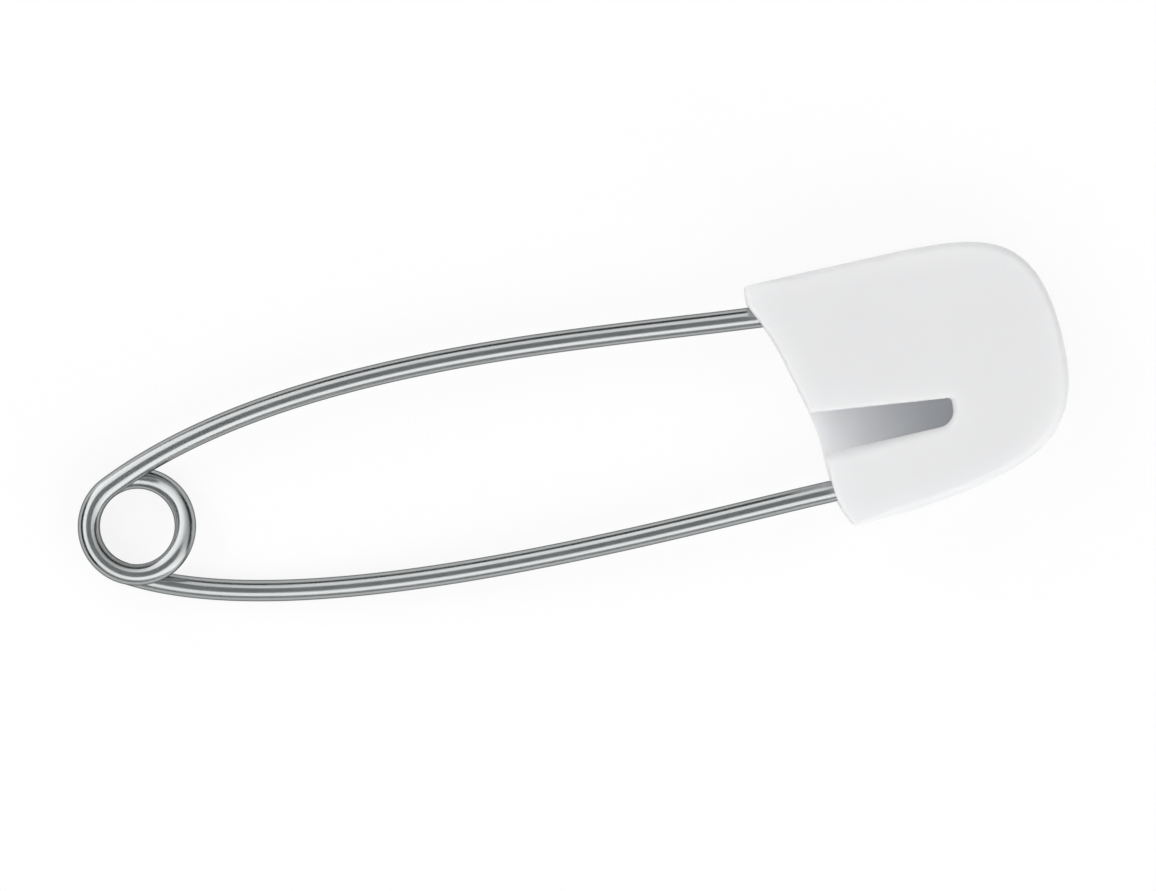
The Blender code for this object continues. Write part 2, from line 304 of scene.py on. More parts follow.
plastic, tree, output = new_material("moulded_white_polypropylene")
place = add_node(tree, "ShaderNodeTexCoord")
flow = add_node(tree, "ShaderNodeTexNoise", {
    "Vector": place.outputs["Object"], "Scale": 1 / FLOW_WIDTH, "Detail": 2.0,
})
tone = add_node(tree, "ShaderNodeMix", {
    0: flow.outputs["Fac"], 6: linear(PLASTIC_WHITE), 7: linear(PLASTIC_SHADE),
}, data_type="RGBA")
# the pocket's painted light, marked by an attribute on the mesh, is mixed over the plastic's tone
painted_pocket_light = add_node(tree, "ShaderNodeAttribute", attribute_name="painted_pocket_light")
tone = add_node(tree, "ShaderNodeMix", {
    0: painted_pocket_light.outputs["Fac"], 6: tone.outputs[2], 7: linear(PLASTIC_PAINTED_POCKET_LIGHT),
}, data_type="RGBA")
gloss = add_node(tree, "ShaderNodeMapRange", {
    0: flow.outputs["Fac"], 3: PLASTIC_ROUGH[0], 4: PLASTIC_ROUGH[1],
})
grain = add_node(tree, "ShaderNodeTexNoise", {
    "Vector": place.outputs["Object"], "Scale": 1 / GRAIN_WIDTH, "Detail": 3.0,
})
relief = add_node(tree, "ShaderNodeBump", {
    "Height": grain.outputs["Fac"], "Strength": 1.0, "Distance": GRAIN_HEIGHT,
})
surface = add_node(tree, "ShaderNodeBsdfPrincipled", {
    "Base Color": tone.outputs[2], "Roughness": gloss.outputs[0], "IOR": PLASTIC_IOR,
    "Subsurface Weight": PLASTIC_SOFT_SHARE, "Subsurface Radius": PLASTIC_DEPTHS,
    "Subsurface Scale": PLASTIC_DEPTH, "Normal": relief.outputs[0],
})
tree.links.new(surface.outputs[0], output.inputs["Surface"])
print("grain drawn at, mm:", GRAIN_WIDTH / MM)

# %% [markdown]
# ## The wire's steel
# The wire is high-carbon spring steel with a thin bright nickel plate. It was pulled through a die,
# which leaves fine lines along its whole length and none across it. The lines follow the wire round
# every bend, so they are drawn on two attributes that the wire's mesh carries, its place along the
# wire and its place on the round section, and not on the object's coordinates. The dark edge tint is
# painted shade: it lets the plate mirror less at a low glance, which paints on the darker outline of
# the real one.

# %% Drawn spring steel
STEEL_BRIGHT = "#B8BABA"
STEEL_DULL = "#A4A7A7"
# painted shade: a dark edge tint that darkens the wire's outline at a low glance
STEEL_PAINTED_RIM_SHADE = "#606262"
STEEL_ROUGH = (0.14, 0.27)
LINE_WIDTH = 0.09 * MM
LINE_STRETCH = 60
LINE_HEIGHT = 0.0016 * MM
PATCH_WIDTH = 2.5 * MM

steel, tree, output = new_material("drawn_spring_steel")
section = add_node(tree, "ShaderNodeAttribute", attribute_name="section")
along = add_node(tree, "ShaderNodeAttribute", attribute_name="along")
on_section = add_node(tree, "ShaderNodeSeparateXYZ", {0: section.outputs["Vector"]})
stretched = add_node(tree, "ShaderNodeMath", {
    0: along.outputs["Fac"], 1: 1 / LINE_STRETCH,
}, operation="MULTIPLY")
line_place = add_node(tree, "ShaderNodeCombineXYZ", {
    0: on_section.outputs[0], 1: on_section.outputs[1], 2: stretched.outputs[0],
})
patch_place = add_node(tree, "ShaderNodeCombineXYZ", {
    0: on_section.outputs[0], 1: on_section.outputs[1], 2: along.outputs["Fac"],
})
lines = add_node(tree, "ShaderNodeTexNoise", {
    "Vector": line_place.outputs[0], "Scale": 1 / LINE_WIDTH, "Detail": 3.0,
})
patches = add_node(tree, "ShaderNodeTexNoise", {
    "Vector": patch_place.outputs[0], "Scale": 1 / PATCH_WIDTH, "Detail": 2.0,
})
tone = add_node(tree, "ShaderNodeMix", {
    0: lines.outputs["Fac"], 6: linear(STEEL_BRIGHT), 7: linear(STEEL_DULL),
}, data_type="RGBA")
gloss = add_node(tree, "ShaderNodeMapRange", {
    0: patches.outputs["Fac"], 3: STEEL_ROUGH[0], 4: STEEL_ROUGH[1],
})
relief = add_node(tree, "ShaderNodeBump", {
    "Height": lines.outputs["Fac"], "Strength": 1.0, "Distance": LINE_HEIGHT,
})
surface = add_node(tree, "ShaderNodeBsdfPrincipled", {
    "Base Color": tone.outputs[2], "Metallic": 1.0, "Roughness": gloss.outputs[0],
    "Specular Tint": linear(STEEL_PAINTED_RIM_SHADE), "Normal": relief.outputs[0],
})
tree.links.new(surface.outputs[0], output.inputs["Surface"])
print("drawing lines, mm apart:", LINE_WIDTH / MM)

# %% [markdown]
# ## The wire's route
# One wire runs from a hook inside the guard, along the fixed arm, once and a third round the coil
# and out along the pin arm to the point. Each arm is one easy curve that leaves the coil along its
# tangent. The coil's two layers lie just clear of each other, so that they can twist, and the wire
# steps down between them on the guard's side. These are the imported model's own sizes, with more
# points, so that bends look round.

# %% Sizes of the wire and its coil
PIN_LENGTH = 56.1 * MM
WIRE_DIAMETER = 1.2 * MM
WIRE_RADIUS = WIRE_DIAMETER / 2
COIL_RADIUS = 2.7 * MM
COIL_X = COIL_RADIUS + WIRE_RADIUS - PIN_LENGTH / 2
COIL_Y = 0.13 * MM
LAYER_GAP = 0.46 * MM
LOW_LAYER = WIRE_RADIUS
HIGH_LAYER = LOW_LAYER + WIRE_DIAMETER + LAYER_GAP
STEP_START_DEG = 300
STEP_END_DEG = 430
print("coil's middle at x, mm:", round(COIL_X / MM, 2))

# %% Sizes of the guard that the wire meets
HEAD_LENGTH = 17.0 * MM
HEAD_SHORT_LENGTH = 13.45 * MM
HEAD_WIDTH = 14.6 * MM
HEAD_THICKNESS = 6.2 * MM
SLOT_END = 6.85 * MM

HALF_WIDTH = HEAD_WIDTH / 2
FAR_X = PIN_LENGTH / 2
LONG_MOUTH_X = FAR_X - HEAD_LENGTH
SHORT_MOUTH_X = FAR_X - HEAD_SHORT_LENGTH
MOUTH_MIDDLE_X = (LONG_MOUTH_X + SHORT_MOUTH_X) / 2
SLOT_END_X = FAR_X - SLOT_END
print("guard's mouth at x, mm:", round(LONG_MOUTH_X / MM, 2), "and", round(SHORT_MOUTH_X / MM, 2))

# %% Sizes of the arms
FIXED_ARM = {
    "side": 1, "leave_deg": 116, "ring_handle": 12.7 * MM, "head_handle": 9.2 * MM,
    "from_side": 2.19 * MM,
}
PIN_ARM = {
    "side": -1, "leave_deg": 120, "ring_handle": 10.2 * MM, "head_handle": 9.0 * MM,
    "from_side": 2.12 * MM,
}
ARM_SLOPE = 0.04
ARM_HEIGHT = 2.3 * MM
SPLIT_FROM_COIL = 3.0 * MM
SPLIT_X = COIL_X + SPLIT_FROM_COIL
POINT_BEFORE_SLOT_END = 2.6 * MM
POINT_X = SLOT_END_X - POINT_BEFORE_SLOT_END
print("arm height in the guard, mm:", ARM_HEIGHT / MM, "point at x, mm:", round(POINT_X / MM, 2))

# %% Curves
def ease(value):
    """From 0 to 1, level at both ends."""
    value = min(max(value, 0), 1)
    return value * value * (3 - 2 * value)


def cubic(start, start_handle, end_handle, end, share):
    """A point on a cubic curve."""
    rest = 1 - share
    return (
        start * rest**3 + start_handle * (3 * rest * rest * share)
        + end_handle * (3 * rest * share * share) + end * share**3
    )


print("eased at a quarter of the way:", ease(0.25))

# %% An arm from the coil to the mouth
ARM_STEPS = 150
ARM_STEP_POWER = 1.5    # above 1, the points lie closer near the coil, where the arm bends most


def arm(layer, side, leave_deg, ring_handle, head_handle, from_side):
    """An arm's centre line from the coil into the guard's mouth, and its direction there."""
    leave = math.radians(leave_deg)
    start = Vector((
        COIL_X + COIL_RADIUS * math.cos(leave), COIL_Y + side * COIL_RADIUS * math.sin(leave),
    ))
    start_handle = start + Vector((math.sin(leave), -side * math.cos(leave))) * ring_handle
    end = Vector((MOUTH_MIDDLE_X, side * (HALF_WIDTH - from_side)))
    inward = Vector((1, -side * ARM_SLOPE)).normalized()
    points = []
    for step in range(ARM_STEPS + 1):
        share = (step / ARM_STEPS) ** ARM_STEP_POWER
        x, y = cubic(start, start_handle, end - inward * head_handle, end, share)
        rise = ease((x - SPLIT_X) / (MOUTH_MIDDLE_X - SPLIT_X))
        points.append(Vector((x, y, layer + (ARM_HEIGHT - layer) * rise)))
    return points, Vector((*inward, 0))


pin_points, pin_inward = arm(LOW_LAYER, **PIN_ARM)
pin_points.append(pin_points[-1] + pin_inward * ((POINT_X - MOUTH_MIDDLE_X) / pin_inward.x))
print("pin arm points:", len(pin_points))

# %% The fixed arm and its anchor
ANCHOR_REACH = 8.0 * MM
ANCHOR_HOOK = 2.6 * MM
ANCHOR_BEND = 1.2 * MM
BEND_STEPS = 14


def fixed_arm():
    """From the coil to the hook that anchors the wire inside the guard."""
    points, inward = arm(HIGH_LAYER, **FIXED_ARM)
    across = Vector((inward.y, -inward.x, 0))
    centre = points[-1] + inward * (ANCHOR_REACH - ANCHOR_BEND) + across * ANCHOR_BEND
    for step in range(BEND_STEPS + 1):
        turn = math.radians(90) * step / BEND_STEPS
        points.append(centre + (inward * math.sin(turn) - across * math.cos(turn)) * ANCHOR_BEND)
    points.append(points[-1] + across * (ANCHOR_HOOK - ANCHOR_BEND))
    return points


fixed_points = fixed_arm()
print("fixed arm points:", len(fixed_points))

# %% Round the coil
RING_STEPS = 200


def ring():
    """Round the coil, from the fixed arm on the upper layer to the pin arm on the lower one."""
    first, last = FIXED_ARM["leave_deg"], 720 - PIN_ARM["leave_deg"]
    points = []
    for step in range(1, RING_STEPS):
        angle = first + (last - first) * step / RING_STEPS
        drop = ease((angle - STEP_START_DEG) / (STEP_END_DEG - STEP_START_DEG))
        turn = math.radians(angle)
        points.append(Vector((
            COIL_X + COIL_RADIUS * math.cos(turn),
            COIL_Y + COIL_RADIUS * math.sin(turn),
            HIGH_LAYER + (LOW_LAYER - HIGH_LAYER) * drop,
        )))
    return points


ring_points = ring()
print("turns round the coil:", round((720 - PIN_ARM["leave_deg"] - FIXED_ARM["leave_deg"]) / 360, 2))

# %% The length of the wire
def length_of(points):
    """The length along a line of points, up to each of them."""
    lengths = [0.0]
    for before, after in zip(points, points[1:]):
        lengths.append(lengths[-1] + (after - before).length)
    return lengths


wire_lengths = length_of([*reversed(fixed_points), *ring_points, *pin_points])
print("wire length, mm:", round(wire_lengths[-1] / MM, 1))

# %% [markdown]
# ## Sweeping the wire
# A round section swept along a route is what Geometry Nodes do best. The tree takes a line of
# points, turns it to a curve, sets its thickness from an attribute, and carries a circle along it.
# On the way it stores the place along the wire and the place on the section for the steel. The
# result becomes a plain mesh, because only plain meshes can bend with the pin's joints.

# %% The inputs of the sweep
sweep = bpy.data.node_groups.new("swept_wire", "GeometryNodeTree")
sockets = {}
for label, way, kind in (
    ("Route", "INPUT", "NodeSocketGeometry"), ("Wire diameter", "INPUT", "NodeSocketFloat"),
    ("Section sides", "INPUT", "NodeSocketInt"), ("Steel", "INPUT", "NodeSocketMaterial"),
    ("Wire", "OUTPUT", "NodeSocketGeometry"),
):
    sockets[label] = sweep.interface.new_socket(name=label, in_out=way, socket_type=kind).identifier
given = add_node(sweep, "NodeGroupInput")
print("sweep inputs:", [s.name for s in sweep.interface.items_tree if s.in_out == "INPUT"])

# %% The route as a curve
line = add_node(sweep, "GeometryNodeMeshToCurve", {"Mesh": given.outputs["Route"]})
share = add_node(sweep, "GeometryNodeInputNamedAttribute", {"Name": "share"}, data_type="FLOAT")
line = add_node(sweep, "GeometryNodeSetCurveRadius", {
    "Curve": line.outputs["Curve"], "Radius": share.outputs["Attribute"],
})
reach = add_node(sweep, "GeometryNodeSplineParameter")
line = add_node(sweep, "GeometryNodeStoreNamedAttribute", {
    "Geometry": line.outputs["Curve"], "Name": "along", "Value": reach.outputs["Length"],
}, data_type="FLOAT", domain="POINT")
print("stored along the route:", line.inputs["Name"].default_value)

# %% The round section
half = add_node(sweep, "ShaderNodeMath", {
    0: given.outputs["Wire diameter"], 1: 0.5,
}, operation="MULTIPLY")
circle = add_node(sweep, "GeometryNodeCurvePrimitiveCircle", {
    "Resolution": given.outputs["Section sides"], "Radius": half.outputs[0],
})
spot = add_node(sweep, "GeometryNodeInputPosition")
circle = add_node(sweep, "GeometryNodeStoreNamedAttribute", {
    "Geometry": circle.outputs["Curve"], "Name": "section", "Value": spot.outputs["Position"],
}, data_type="FLOAT_VECTOR", domain="POINT")
print("stored on the section:", circle.inputs["Name"].default_value)

# %% The section along the route
radius = add_node(sweep, "GeometryNodeInputRadius")
skin = add_node(sweep, "GeometryNodeCurveToMesh", {
    "Curve": line.outputs["Geometry"], "Profile Curve": circle.outputs["Geometry"],
    "Scale": radius.outputs["Radius"], "Fill Caps": True,
})
skin = add_node(sweep, "GeometryNodeRealizeInstances", {"Geometry": skin.outputs["Mesh"]})
skin = add_node(sweep, "GeometryNodeSetMaterial", {
    "Geometry": skin.outputs["Geometry"], "Material": given.outputs["Steel"],
})
add_node(sweep, "NodeGroupOutput", {"Wire": skin.outputs["Geometry"]})
print("sweep nodes:", len(sweep.nodes))

# %% A swept piece as a plain mesh
SECTION_SIDES = 32
CAP_ANGLE_DEG = 50


def plain_mesh(thing):
    """What an object's modifiers make, as a mesh of its own."""
    evaluated = thing.evaluated_get(bpy.context.evaluated_depsgraph_get())
    return bpy.data.meshes.new_from_object(evaluated)


def face_outwards(mesh):
    """Turns every face of a closed mesh outwards."""
    shape = bmesh.new()
    shape.from_mesh(mesh)
    bmesh.ops.recalc_face_normals(shape, faces=shape.faces)
    shape.to_mesh(mesh)
    shape.free()


def sweep_wire(name, points, shares):
    """A wire along the points, its thickness at each given as a share, as a plain closed mesh."""
    mesh = bpy.data.meshes.new(name)
    mesh.from_pydata(points, [(i, i + 1) for i in range(len(points) - 1)], [])
    mesh.attributes.new("share", "FLOAT", "POINT").data.foreach_set("value", shares)
    route = bpy.data.objects.new(name, mesh)
    bpy.context.scene.collection.objects.link(route)
    modifier = route.modifiers.new("sweep", "NODES")
    modifier.node_group = sweep
    modifier[sockets["Wire diameter"]] = WIRE_DIAMETER
    modifier[sockets["Section sides"]] = SECTION_SIDES
    modifier[sockets["Steel"]] = steel
    made = plain_mesh(route)
    bpy.data.objects.remove(route, do_unlink=True)
    face_outwards(made)
    made.shade_smooth()
    made.set_sharp_from_angle(angle=math.radians(CAP_ANGLE_DEG))
    made.name = name
    wire = bpy.data.objects.new(name, made)
    bpy.context.scene.collection.objects.link(wire)
    print(name, "faces:", len(made.polygons), "materials:", [m.name for m in made.materials])
    return wire


# %% [markdown]
# ## Fixed arm and coil
# The real wire is unbroken, so the fixed arm, the coil and the first 5 mm or so of the pin arm are
# one piece here. It takes the place of the imported fixed arm and coil, and the length along the
# wire is read back from its mesh.

# %% One wire up to the split
lead_out = [p for p in pin_points if p.x < SPLIT_X]
after = pin_points[len(lead_out)]
split = lead_out[-1].lerp(after, (SPLIT_X - lead_out[-1].x) / (after.x - lead_out[-1].x))
spring_points = [*reversed(fixed_points), *ring_points, *lead_out, split]
spring = sweep_wire("spring_wire", spring_points, [1.0] * len(spring_points))
print("split at, mm:", [round(v / MM, 2) for v in split])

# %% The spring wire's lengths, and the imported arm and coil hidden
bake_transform(spring)
lengths = length_of(spring_points)
along_wire = np.zeros(len(spring.data.vertices), np.float32)
spring.data.attributes["along"].data.foreach_get("value", along_wire)
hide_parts("fixed_arm", "spring_coil")

# %% [markdown]
# ## Pin arm
# The pin arm ends in a ground point, slim for its last 5 mm and drawn in along a slightly full
# curve, as a needle's is. Its other end is rounded like a ball inside the first piece, so that the
# wire looks whole at every stage of opening.

# %% The rounded start
ARM_BALL_STEPS = 8
ARM_BALL_START = 0.02    # of a step from the pole, where the section would shrink to nothing

beyond = [split, *pin_points[len(lead_out):]]
heading = (beyond[1] - beyond[0]).normalized()
ball_turns = [
    math.radians(90) * (ARM_BALL_START + step) / ARM_BALL_STEPS for step in range(ARM_BALL_STEPS)
]
ball = [split - heading * WIRE_RADIUS * math.cos(turn) for turn in ball_turns]
ball_shares = [math.sin(turn) for turn in ball_turns]
print("ball points:", len(ball))

# %% The ground point
POINT_TAPER = 5.0 * MM
POINT_SHARE = 0.04
POINT_STEPS = 24
POINT_FULLNESS = 1.6
NEARLY = 0.001 * MM

lengths = length_of(beyond)
total = lengths[-1]
body = [p for p, reached in zip(beyond, lengths) if reached < total - POINT_TAPER]
taper = []
for step in range(POINT_STEPS + 1):
    place = total - POINT_TAPER * (1 - step / POINT_STEPS)
    index = next(i for i in range(1, len(lengths)) if lengths[i] >= place - NEARLY)
    part = (place - lengths[index - 1]) / (lengths[index] - lengths[index - 1])
    taper.append(beyond[index - 1].lerp(beyond[index], part))
taper_shares = [
    max(POINT_SHARE, 1 - (step / POINT_STEPS) ** POINT_FULLNESS) for step in range(POINT_STEPS + 1)
]
print("tip at x, mm:", round(taper[-1].x / MM, 2))

# %% The pin arm's mesh
pin_wire = sweep_wire(
    "pin_wire", [*ball, *body, *taper], [*ball_shares, *[1.0] * len(body), *taper_shares]
)
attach(pin_wire, "point_arm")
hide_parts("pin_arm")
print("pin arm, mm:", round(total / MM, 1))

# %% [markdown]
# ## The guard's plan
# The guard is one moulding. Seen from above it has two nearly straight sides of unlike length, two
# full corners that meet at its far end, and a mouth whose edge bends down between the sides. One
# cubic curve makes each corner, and a soft curve through a few places measured on the real one makes
# the mouth. Then points are set at even steps all round, because even steps make even faces.

# %% Sizes of the guard's plan
FAR_TRIM = 0.13 * MM
LONG_SIDE_TAPER = 0.3 * MM
LONG_SIDE_RUN = 9.0 * MM
LONG_CORNER_SHARES = (0.58, 1.0)
SHORT_SIDE_RUN = 0.75 * MM
SHORT_SIDE_SLOPE = 0.08
SHORT_CORNER_SHARES = (0.77, 0.66)

far = Vector((FAR_X - FAR_TRIM, 0))
long_mouth = Vector((LONG_MOUTH_X, HALF_WIDTH - LONG_SIDE_TAPER))
short_mouth = Vector((SHORT_MOUTH_X, -HALF_WIDTH))
print("guard's far end at x, mm:", round(far.x / MM, 2))

# %% Two full corners
CORNER_STEPS = 40


def corner(start, end, slope, handle_shares):
    """A full, soft corner from a side, at a slope, to the middle of the far end."""
    run = end - start
    return [
        cubic(
            start, start + Vector((run.x, run.x * slope)) * handle_shares[0],
            end - Vector((0, run.y)) * handle_shares[1], end, step / CORNER_STEPS,
        )
        for step in range(CORNER_STEPS + 1)
    ]


upper = corner(Vector((LONG_MOUTH_X + LONG_SIDE_RUN, HALF_WIDTH)), far, 0, LONG_CORNER_SHARES)
lower = corner(
    short_mouth + Vector((SHORT_SIDE_RUN, SHORT_SIDE_RUN * SHORT_SIDE_SLOPE)), far,
    SHORT_SIDE_SLOPE, SHORT_CORNER_SHARES,
)
print("corner points:", len(upper) + len(lower))

# %% The mouth's edge
MOUTH_EDGE_SHARES = (
    (0.0, 0.81), (0.16, 0.65), (0.31, 0.48), (0.47, 0.22), (0.62, -0.04), (0.72, -0.27),
    (0.755, -0.52), (0.82, -0.79),
)
MOUTH_STEPS = 8


def smooth_through(points, steps):
    """A soft curve through every point, as a spline that takes its slopes from the neighbours."""
    ends = [points[0] * 2 - points[1], *points, points[-1] * 2 - points[-2]]
    out = []
    for i in range(1, len(ends) - 2):
        before, a, b, after = ends[i - 1:i + 3]
        for step in range(steps):
            out.append(cubic(a, a + (b - before) / 6, b - (after - a) / 6, b, step / steps))
    return [*out, points[-1]]


mouth = smooth_through([short_mouth, *[
    Vector((LONG_MOUTH_X + (SHORT_MOUTH_X - LONG_MOUTH_X) * share, HALF_WIDTH * across))
    for share, across in reversed(MOUTH_EDGE_SHARES)
], long_mouth], MOUTH_STEPS)
print("mouth points:", len(mouth))

# %% Small round corners at the mouth
MOUTH_CORNER = 0.18 * MM
MOUTH_CORNER_STEPS = 5
MOUTH_CORNER_HANDLE = 0.55    # nearly a quarter circle


def trimmed(points, reach):
    """A line of points without what lies within reach of either end."""
    first, last = points[0], points[-1]
    kept = [p for p in points if (p - first).length > reach and (p - last).length > reach]
    new_first = first + (kept[0] - first).normalized() * reach
    return [new_first, *kept, last + (kept[-1] - last).normalized() * reach]


def small_corner(before, tip, after):
    """Points from one trimmed line to the next, in a small curve that cuts off their sharp tip."""
    handles = before.lerp(tip, MOUTH_CORNER_HANDLE), after.lerp(tip, MOUTH_CORNER_HANDLE)
    return [
        cubic(before, *handles, after, step / MOUTH_CORNER_STEPS)
        for step in range(1, MOUTH_CORNER_STEPS)
    ]


sides = trimmed([long_mouth, *upper, *reversed(lower[:-1]), short_mouth], MOUTH_CORNER)
mouth = trimmed(mouth, MOUTH_CORNER)
outline = [
    *sides, *small_corner(sides[-1], short_mouth, mouth[0]),
    *mouth, *small_corner(mouth[-1], long_mouth, sides[0]),
]
print("outline points:", len(outline))

# %% Even steps round the outline
OUTLINE_SPACING = 0.15 * MM


def evenly(loop, spacing):
    """Points at even steps round a closed loop."""
    closed = [*loop, loop[0]]
    reached = length_of(closed)
    total = round(reached[-1] / spacing)
    places = np.interp(
        np.arange(total)[:, None] * reached[-1] / total, reached, np.arange(len(closed))
    ).ravel()
    return [closed[int(p)].lerp(closed[int(p) + 1], p - int(p)) for p in places]


sides_length = length_of(sides)[-1]
outline = evenly(outline, OUTLINE_SPACING)
print("even outline points:", len(outline), "sides, mm:", round(sides_length / MM, 1))

# %% [markdown]
# ## The guard's block and its rims
# Every outer edge of a moulding is a little round. A bevel could do that, but it pinches where the
# mouth's edge bends more tightly than the rim. So the block is a stack of outlines, each drawn in a
# bit further than the one before it along a quarter circle. Three more outlines halfway up make the
# fine raised line that the two halves of the mould leave where they meet.

# %% A solid from a stack of outlines
def block(name, levels):
    """A closed solid through a stack of loops of points, capped at both ends."""
    mesh = bpy.data.meshes.new(name)
    count = len(levels[0])
    faces = [tuple(range(count)), tuple(range(count * (len(levels) - 1), count * len(levels)))]
    for low in range(0, count * (len(levels) - 1), count):
        for i in range(count):
            after = (i + 1) % count
            faces.append((low + i, low + after, low + count + after, low + count + i))
    mesh.from_pydata([p for level in levels for p in level], [], faces)
    face_outwards(mesh)
    solid = bpy.data.objects.new(name, mesh)
    bpy.context.scene.collection.objects.link(solid)
    return solid


def flat(points, height):
    """A plan outline at a height."""
    return [(p[0], p[1], height) for p in points]


print("a flat level starts at:", flat([outline[0] / MM], 0)[0])

# %% The rims' width and the parting line's height
RIM = 0.5 * MM
RIM_RUN = 3.0 * MM
MOUTH_RIM_SHARE = 0.45
PARTING_PROUD = 0.03 * MM

rims, outwards, seam = [], [], []
for i, point in enumerate(outline):
    way = outline[(i + 1) % len(outline)] - outline[i - 1]
    outwards.append(Vector((-way.y, way.x)).normalized())
    reached = i * OUTLINE_SPACING
    full = ease(min(reached, sides_length - reached) / RIM_RUN)
    rims.append(RIM * (MOUTH_RIM_SHARE + (1 - MOUTH_RIM_SHARE) * full))
    seam.append(PARTING_PROUD * full)
print("rims, mm:", round(min(rims) / MM, 3), "to", round(max(rims) / MM, 3))

# %% The block
RIM_SEGMENTS = 8
PARTING_HALF_WIDTH = 0.07 * MM

rim_levels = []
for step in range(RIM_SEGMENTS + 1):
    turn = math.radians(90) * step / RIM_SEGMENTS
    rim_levels.append([
        (*(point - out * rim * (1 - math.sin(turn))), rim * (1 - math.cos(turn)))
        for point, out, rim in zip(outline, outwards, rims)
    ])
middle = HEAD_THICKNESS / 2
proud = [point + out * height for point, out, height in zip(outline, outwards, seam)]
guard = block("guard", [
    *rim_levels,
    flat(outline, middle - PARTING_HALF_WIDTH),
    flat(proud, middle),
    flat(outline, middle + PARTING_HALF_WIDTH),
    *[[(x, y, HEAD_THICKNESS - z) for x, y, z in level] for level in reversed(rim_levels)],
])
print("guard, mm:", [round(v / MM, 2) for v in guard.dimensions])

# %% [markdown]
# ## Pocket, slot and grip
# In the mould, steel cores keep two spaces free, the pocket that hides the point and the slot that
# lets it out, and the plastic closes round the hooked end of the fixed arm and grips it. All three
# are solids here that a Boolean takes away. The slot's edge on the pin arm's side is rolled over,
# to guide the wire in, so the slot's solid flares there. The pocket runs on a little beyond the
# slot's end, which keeps that end dark.

# %% The pocket's core
FACE_WALL = 1.0 * MM
BACK_WALL = 1.25 * MM
SIDE_WALL = 0.95 * MM
POCKET_PAST_SLOT = 0.35 * MM
POCKET_DEEPER = 1.0 * MM
POCKET_DEEPER_FROM = 3.6 * MM
POCKET_INNER = 0.3 * MM
POCKET_SLOPE = 0.13
POCKET_ROUND = 0.45 * MM
POCKET_ROUND_SEGMENTS = 5
OVERSHOOT = 4.0 * MM
OUTSIDE_X = LONG_MOUTH_X - OVERSHOOT

end_x = SLOT_END_X + POCKET_PAST_SLOT
mouth_y = SIDE_WALL - HALF_WIDTH
pocket_plan = [
    (OUTSIDE_X, -POCKET_INNER), (OUTSIDE_X, mouth_y), (SHORT_MOUTH_X, mouth_y),
    (end_x, mouth_y + (end_x - SHORT_MOUTH_X) * POCKET_SLOPE),
    (end_x + POCKET_DEEPER, -POCKET_DEEPER_FROM), (end_x + POCKET_DEEPER, -POCKET_INNER),
]
pocket = block("pocket", [
    flat(pocket_plan, BACK_WALL), flat(pocket_plan, HEAD_THICKNESS - FACE_WALL),
])
soft = pocket.modifiers.new("core_rounding", "BEVEL")
soft.width = POCKET_ROUND
soft.segments = POCKET_ROUND_SEGMENTS
print("pocket, mm:", [round(v / MM, 2) for v in pocket.dimensions])

# %% Sides and corners of the slot
SLOT_SIDE_STEPS = 24
SLOT_CORNER_STEPS = 10


def slot_side(start, end, first_lip, last_lip):
    """Points down a straight side, each with its way outwards and the radius of its rolled lip."""
    run = (end - start).normalized()
    out = Vector((run.y, -run.x))
    return [
        (start.lerp(end, step / SLOT_SIDE_STEPS), out,
         first_lip + (last_lip - first_lip) * step / SLOT_SIDE_STEPS)
        for step in range(SLOT_SIDE_STEPS + 1)
    ]


def slot_corner(centre, radius, first_deg, first_lip, last_lip):
    """The same round one corner of the slot's closed end."""
    points = []
    for step in range(1, SLOT_CORNER_STEPS):
        turn = math.radians(first_deg + 90 * step / SLOT_CORNER_STEPS)
        out = Vector((math.cos(turn), math.sin(turn)))
        lip = first_lip + (last_lip - first_lip) * step / SLOT_CORNER_STEPS
        points.append((centre + out * radius, out, lip))
    return points


print("steps down a side:", SLOT_SIDE_STEPS, "round a corner:", SLOT_CORNER_STEPS)

# %% The slot's rim
SLOT_INNER_MOUTH = 0.7 * MM
SLOT_INNER_END = 1.22 * MM
SLOT_OUTER_MOUTH = 3.0 * MM
SLOT_OUTER_END = 2.75 * MM
SLOT_OUTER_CORNER = 0.95 * MM
SLOT_INNER_CORNER = 0.25 * MM
LIP_INNER = 0.15 * MM
LIP_OUTER_END = 0.45 * MM
LIP_OUTER_MOUTH = 1.2 * MM

grow = (OUTSIDE_X - SHORT_MOUTH_X) / (SLOT_END_X - SHORT_MOUTH_X)
inner_out = SLOT_INNER_MOUTH + (SLOT_INNER_END - SLOT_INNER_MOUTH) * grow
outer_out = SLOT_OUTER_MOUTH + (SLOT_OUTER_END - SLOT_OUTER_MOUTH) * grow
outer_centre = Vector((SLOT_END_X - SLOT_OUTER_CORNER, SLOT_OUTER_CORNER - SLOT_OUTER_END))
inner_centre = Vector((SLOT_END_X - SLOT_INNER_CORNER, -SLOT_INNER_CORNER - SLOT_INNER_END))
slot_rim = [
    *slot_side(
        Vector((OUTSIDE_X, -outer_out)), outer_centre - Vector((0, SLOT_OUTER_CORNER)),
        LIP_OUTER_MOUTH, LIP_OUTER_END,
    ),
    *slot_corner(outer_centre, SLOT_OUTER_CORNER, -90, LIP_OUTER_END, LIP_OUTER_END),
    *slot_corner(inner_centre, SLOT_INNER_CORNER, 0, LIP_OUTER_END, LIP_INNER),
    *slot_side(
        inner_centre + Vector((0, SLOT_INNER_CORNER)), Vector((OUTSIDE_X, -inner_out)),
        LIP_INNER, LIP_INNER,
    ),
]
print("slot rim points:", len(slot_rim))

# %% The slot's core, flared over its lips
SLOT_BELOW_FACE = 0.3 * MM
LIP_STEPS = 8
LIP_SINK = 0.005 * MM
FLARE_RUN = 0.6 * MM
FLARE_RISE = 0.08 * MM

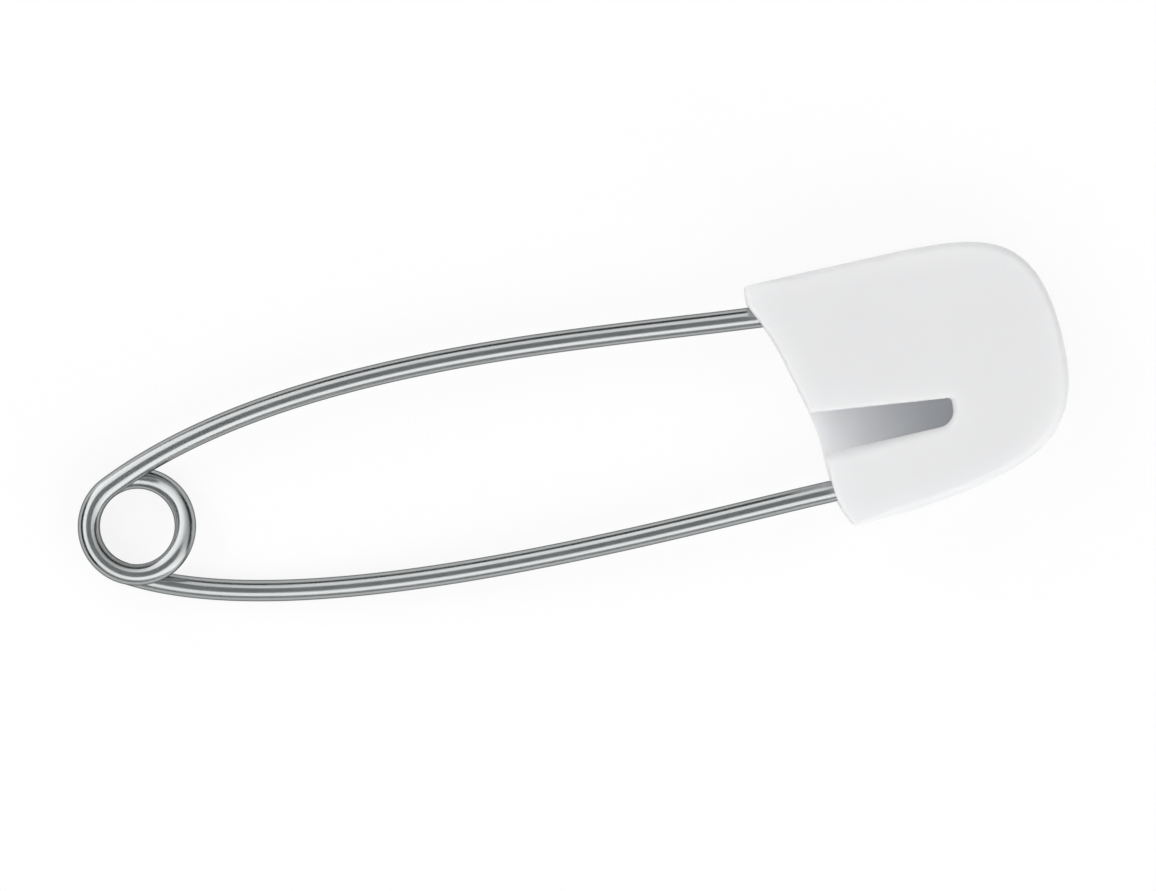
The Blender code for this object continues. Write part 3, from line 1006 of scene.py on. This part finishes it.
slot_low = HEAD_THICKNESS - FACE_WALL - SLOT_BELOW_FACE
lip_top = HEAD_THICKNESS - LIP_SINK
levels = [[(*spot, slot_low) for spot, out, lip in slot_rim]]
for step in range(LIP_STEPS + 1):
    turn = math.radians(90) * (1 - step / LIP_STEPS)
    levels.append([
        (*(spot + out * lip * (1 - math.sin(turn))), lip_top - lip * (1 - math.cos(turn)))
        for spot, out, lip in slot_rim
    ])
levels.append([
    (*(spot + out * (lip + FLARE_RUN)), HEAD_THICKNESS + FLARE_RISE)
    for spot, out, lip in slot_rim
])
slot = block("slot", levels)
print("slot levels:", len(levels))

# %% The grip round the fixed arm, and the cuts
GRIP_SHARE = 1.05

grip_points = [p for p in fixed_points if p.x > OUTSIDE_X]
grip = sweep_wire("grip", grip_points, [GRIP_SHARE] * len(grip_points))

for cutter in (pocket, slot, grip):
    cut = guard.modifiers.new(cutter.name, "BOOLEAN")
    cut.operation = "DIFFERENCE"
    cut.object = cutter
print("cuts:", [m.name for m in guard.modifiers])

# %% [markdown]
# ## The finished guard
# The cuts become one plain mesh, and points that a cut left on top of each other are merged, so that
# the guard is closed. Its pocket walls are marked for painted light, a lighter and bluer colour that
# brightens them, less towards the pocket's end, where hardly any light comes. Weighted normals keep
# the large faces flat between soft rims.

# %% The guard as a plain mesh
MERGE = 0.001 * MM

made = plain_mesh(guard)
for used in (guard, pocket, slot, grip):
    bpy.data.objects.remove(used, do_unlink=True)
shape = bmesh.new()
shape.from_mesh(made)
bmesh.ops.remove_doubles(shape, verts=shape.verts, dist=MERGE)
bmesh.ops.dissolve_degenerate(shape, edges=shape.edges, dist=MERGE)
open_edges = sum(not edge.is_manifold for edge in shape.edges)
shape.to_mesh(made)
shape.free()
made.materials.clear()
made.materials.append(plastic)
print("guard faces:", len(made.polygons), "open edges:", open_edges)

# %% Where the pocket's plastic is painted lighter
# the pocket's painted light fades by this share towards the pocket's end, which is left darker
POCKET_LIGHT_FADE = 0.4

walls = [
    (Vector(a), (Vector(b) - Vector(a)).normalized())
    for a, b in zip(pocket_plan, [*pocket_plan[1:], pocket_plan[0]])
]
inside = made.attributes.new("painted_pocket_light", "FLOAT", "POINT")
for vertex in made.vertices:
    between = BACK_WALL - MERGE < vertex.co.z < HEAD_THICKNESS - FACE_WALL + MERGE
    within = between and all(way.cross(vertex.co.xy - start) > -MERGE for start, way in walls)
    depth = (vertex.co.x - SHORT_MOUTH_X) / (end_x - SHORT_MOUTH_X)
    inside.data[vertex.index].value = within * (1 - POCKET_LIGHT_FADE * min(max(depth, 0), 1))
print("sheltered points:", sum(mark.value > 0 for mark in inside.data))

# %% Soft shading and its place on the pin
CREASE_DEG = 32
FLAT_FACE_WEIGHT = 80

made.shade_smooth()
made.set_sharp_from_angle(angle=math.radians(CREASE_DEG))
guard = bpy.data.objects.new("moulded_guard", made)
bpy.context.scene.collection.objects.link(guard)
even = guard.modifiers.new("even_shading", "WEIGHTED_NORMAL")
even.keep_sharp = True
even.weight = FLAT_FACE_WEIGHT
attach(guard, "clasp")
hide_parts("head")
print("guard rides on the clasp, crease at, degrees:", CREASE_DEG)
